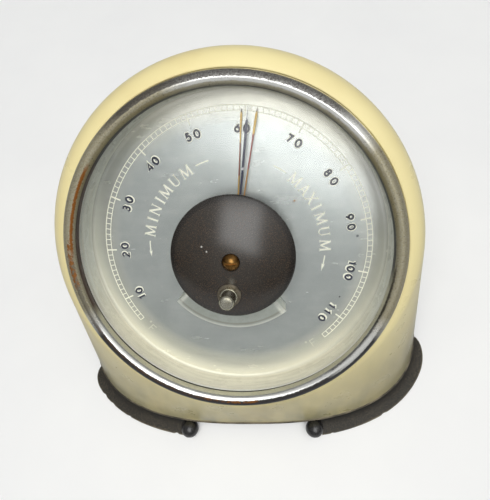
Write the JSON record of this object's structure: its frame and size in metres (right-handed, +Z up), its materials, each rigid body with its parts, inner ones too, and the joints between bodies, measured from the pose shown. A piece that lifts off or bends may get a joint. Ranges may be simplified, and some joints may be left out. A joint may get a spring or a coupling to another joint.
{
  "type": "desk maximum and minimum dial thermometer",
  "caption": "Desk dial thermometer: cream case with sloping dial on a dark moulded base, pointer with minimum and maximum pointers, centre reset knob with finger peg.",
  "frame": {"origin": "on the table, under the middle of the base's footprint", "axes": "+X to the right seen from the front, the front faces -Y, +Z up; the dial's axis leans back towards the front, in the YZ plane"},
  "size_m": [0.1584, 0.1292, 0.1109],
  "materials": {
    "cream_lacquer": "gloss cream lacquer, slightly yellowed",
    "dark_moulding": "dark bronzed moulding, dusty in the hollow",
    "black_ball": "gloss black, worn",
    "steel_fastener": "dull plated steel",
    "dial_silver": "satin blue-grey silvered face with cream scale",
    "seal_rubber": "matt black",
    "clear_glass": "clear flat glass",
    "bezel_plate": "old nickel plate, dull and pitted",
    "turned_brass": "turned brass",
    "navy_enamel": "dark blue enamel",
    "arbor_steel": "polished steel",
    "gilt_pointer": "gilt with a dark tip",
    "red_pointer": "red-brown with a dark tip",
    "black_plastic": "charcoal-brown moulded plastic",
    "sector_grey": "satin grey like the dial",
    "bimetal_strip": "heat-toned strip",
    "strap_steel": "plain steel strip"
  },
  "bodies": {
    "case": {"case_shell": "cream_lacquer", "base_moulding": "dark_moulding", "front_balls": "black_ball", "base_screws": "steel_fastener", "dial_pan": "dial_silver", "crystal_gasket": "seal_rubber", "crystal": "clear_glass", "bezel_ring": "bezel_plate", "centre_pipe": "turned_brass", "pipe_nut": "turned_brass", "pointer_washers": "turned_brass", "crystal_bush": "turned_brass", "bush_nut": "turned_brass", "movement_bridge": "turned_brass", "stud_nuts": "turned_brass", "rear_bush": "turned_brass", "regulator_arm": "strap_steel", "coil_stud": "turned_brass", "bimetal_coil": "bimetal_strip", "pan_pillars": "turned_brass", "mounting_strap": "strap_steel", "strap_screws": "steel_fastener"},
    "main_hand": {"main_pointer": "navy_enamel", "pointer_arbor": "arbor_steel", "coil_collet": "turned_brass"},
    "minimum_hand": {"minimum_pointer": "gilt_pointer"},
    "maximum_hand": {"maximum_pointer": "red_pointer"},
    "reset_knob": {"reset_dome": "black_plastic", "dome_screw": "turned_brass", "reset_spindle": "arbor_steel", "reset_sector": "sector_grey", "finger_peg": "steel_fastener", "peg_washer": "steel_fastener"}
  },
  "joints": [
    {"name": "temperature_hand", "type": "hinge", "parent": "case", "child": "main_hand", "pos_m": [0, 0.005, 0.0636], "axis": [0, 0.6018, -0.7986], "range_deg": [-133.4, 130.6], "stiffness_Nm_per_rad": 0.00004},
    {"name": "minimum_hand_drag", "type": "hinge", "parent": "case", "child": "minimum_hand", "pos_m": [0, 0.005, 0.0636], "axis": [0, 0.6018, -0.7986], "range_deg": [-130.5, 133.5]},
    {"name": "maximum_hand_drag", "type": "hinge", "parent": "case", "child": "maximum_hand", "pos_m": [0, 0.005, 0.0636], "axis": [0, 0.6018, -0.7986], "range_deg": [-137, 127]},
    {"name": "reset_turn", "type": "hinge", "parent": "case", "child": "reset_knob", "pos_m": [0, 0.005, 0.0636], "axis": [0, 0.6018, -0.7986], "range_deg": [-122, 122]}
  ]
}
